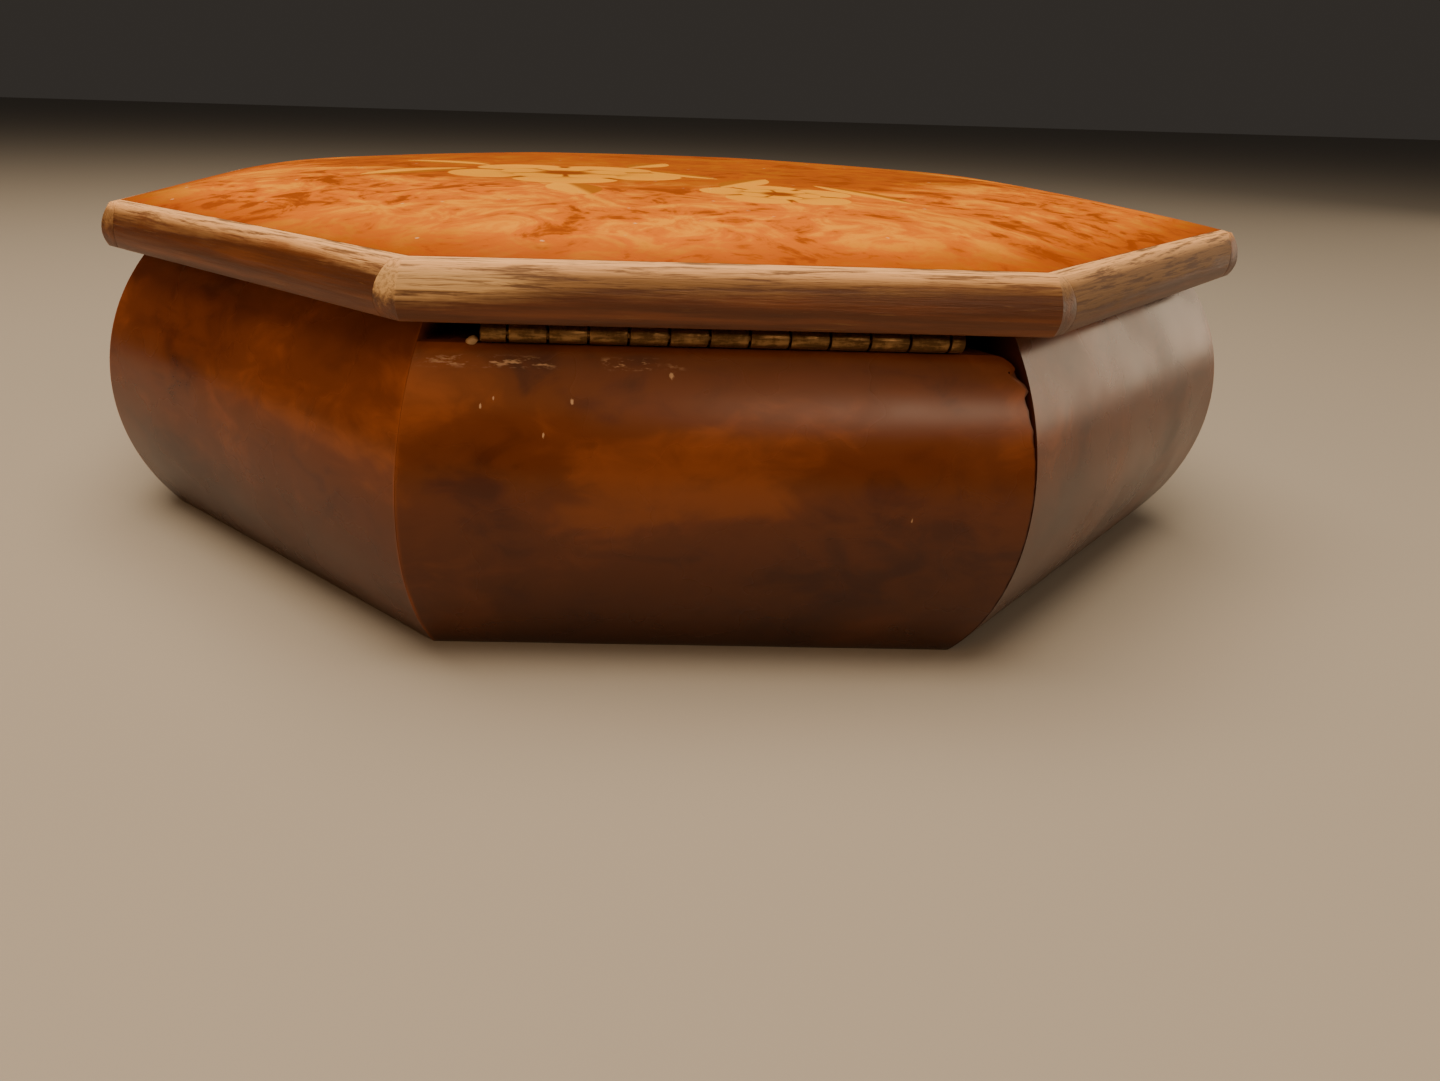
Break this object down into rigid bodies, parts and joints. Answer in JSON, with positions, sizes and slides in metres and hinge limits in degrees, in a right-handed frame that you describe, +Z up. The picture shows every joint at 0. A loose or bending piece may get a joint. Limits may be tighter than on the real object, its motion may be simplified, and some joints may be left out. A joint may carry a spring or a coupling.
{
  "type": "music box",
  "caption": "Octagonal wooden music box with swelling sides, a crowned inlaid lid in rounded lipping and a brass strip hinge at the back.",
  "frame": {"origin": "centre of the underside, on the surface that the box stands on", "axes": "+Z up, -Y towards the front, +Y towards the hinge at the back, +X to the right seen from the front"},
  "size_m": [0.1968, 0.1968, 0.0594],
  "materials": {
    "stained_veneer": "dark red-brown stained veneer under worn satin lacquer",
    "plain_wood": "plain board, thinly lacquered",
    "burl_veneer": "burl veneer with a pale inlaid flower spray under gloss lacquer",
    "worn_lipping": "stained lipping, its upper half rubbed bare",
    "aged_brass": "dulled brass"
  },
  "bodies": {
    "box": {"side_right": "stained_veneer", "side_back_right": "stained_veneer", "side_back": "stained_veneer", "side_back_left": "stained_veneer", "side_left": "stained_veneer", "side_front_left": "stained_veneer", "side_front": "stained_veneer", "side_front_right": "stained_veneer", "bottom_board": "plain_wood", "hinge_leaf_box": "aged_brass", "hinge_pin": "aged_brass"},
    "lid": {"lid_board": "burl_veneer", "lipping_right": "worn_lipping", "lipping_back_right": "worn_lipping", "lipping_back": "worn_lipping", "lipping_back_left": "worn_lipping", "lipping_left": "worn_lipping", "lipping_front_left": "worn_lipping", "lipping_front": "worn_lipping", "lipping_front_right": "worn_lipping", "hinge_leaf_lid": "aged_brass"}
  },
  "joints": [
    {"name": "lid_hinge", "type": "hinge", "parent": "box", "child": "lid", "pos_m": [0, 0.0925, 0.0453], "axis": [-1, 0, 0], "range_deg": [0, 98]}
  ]
}
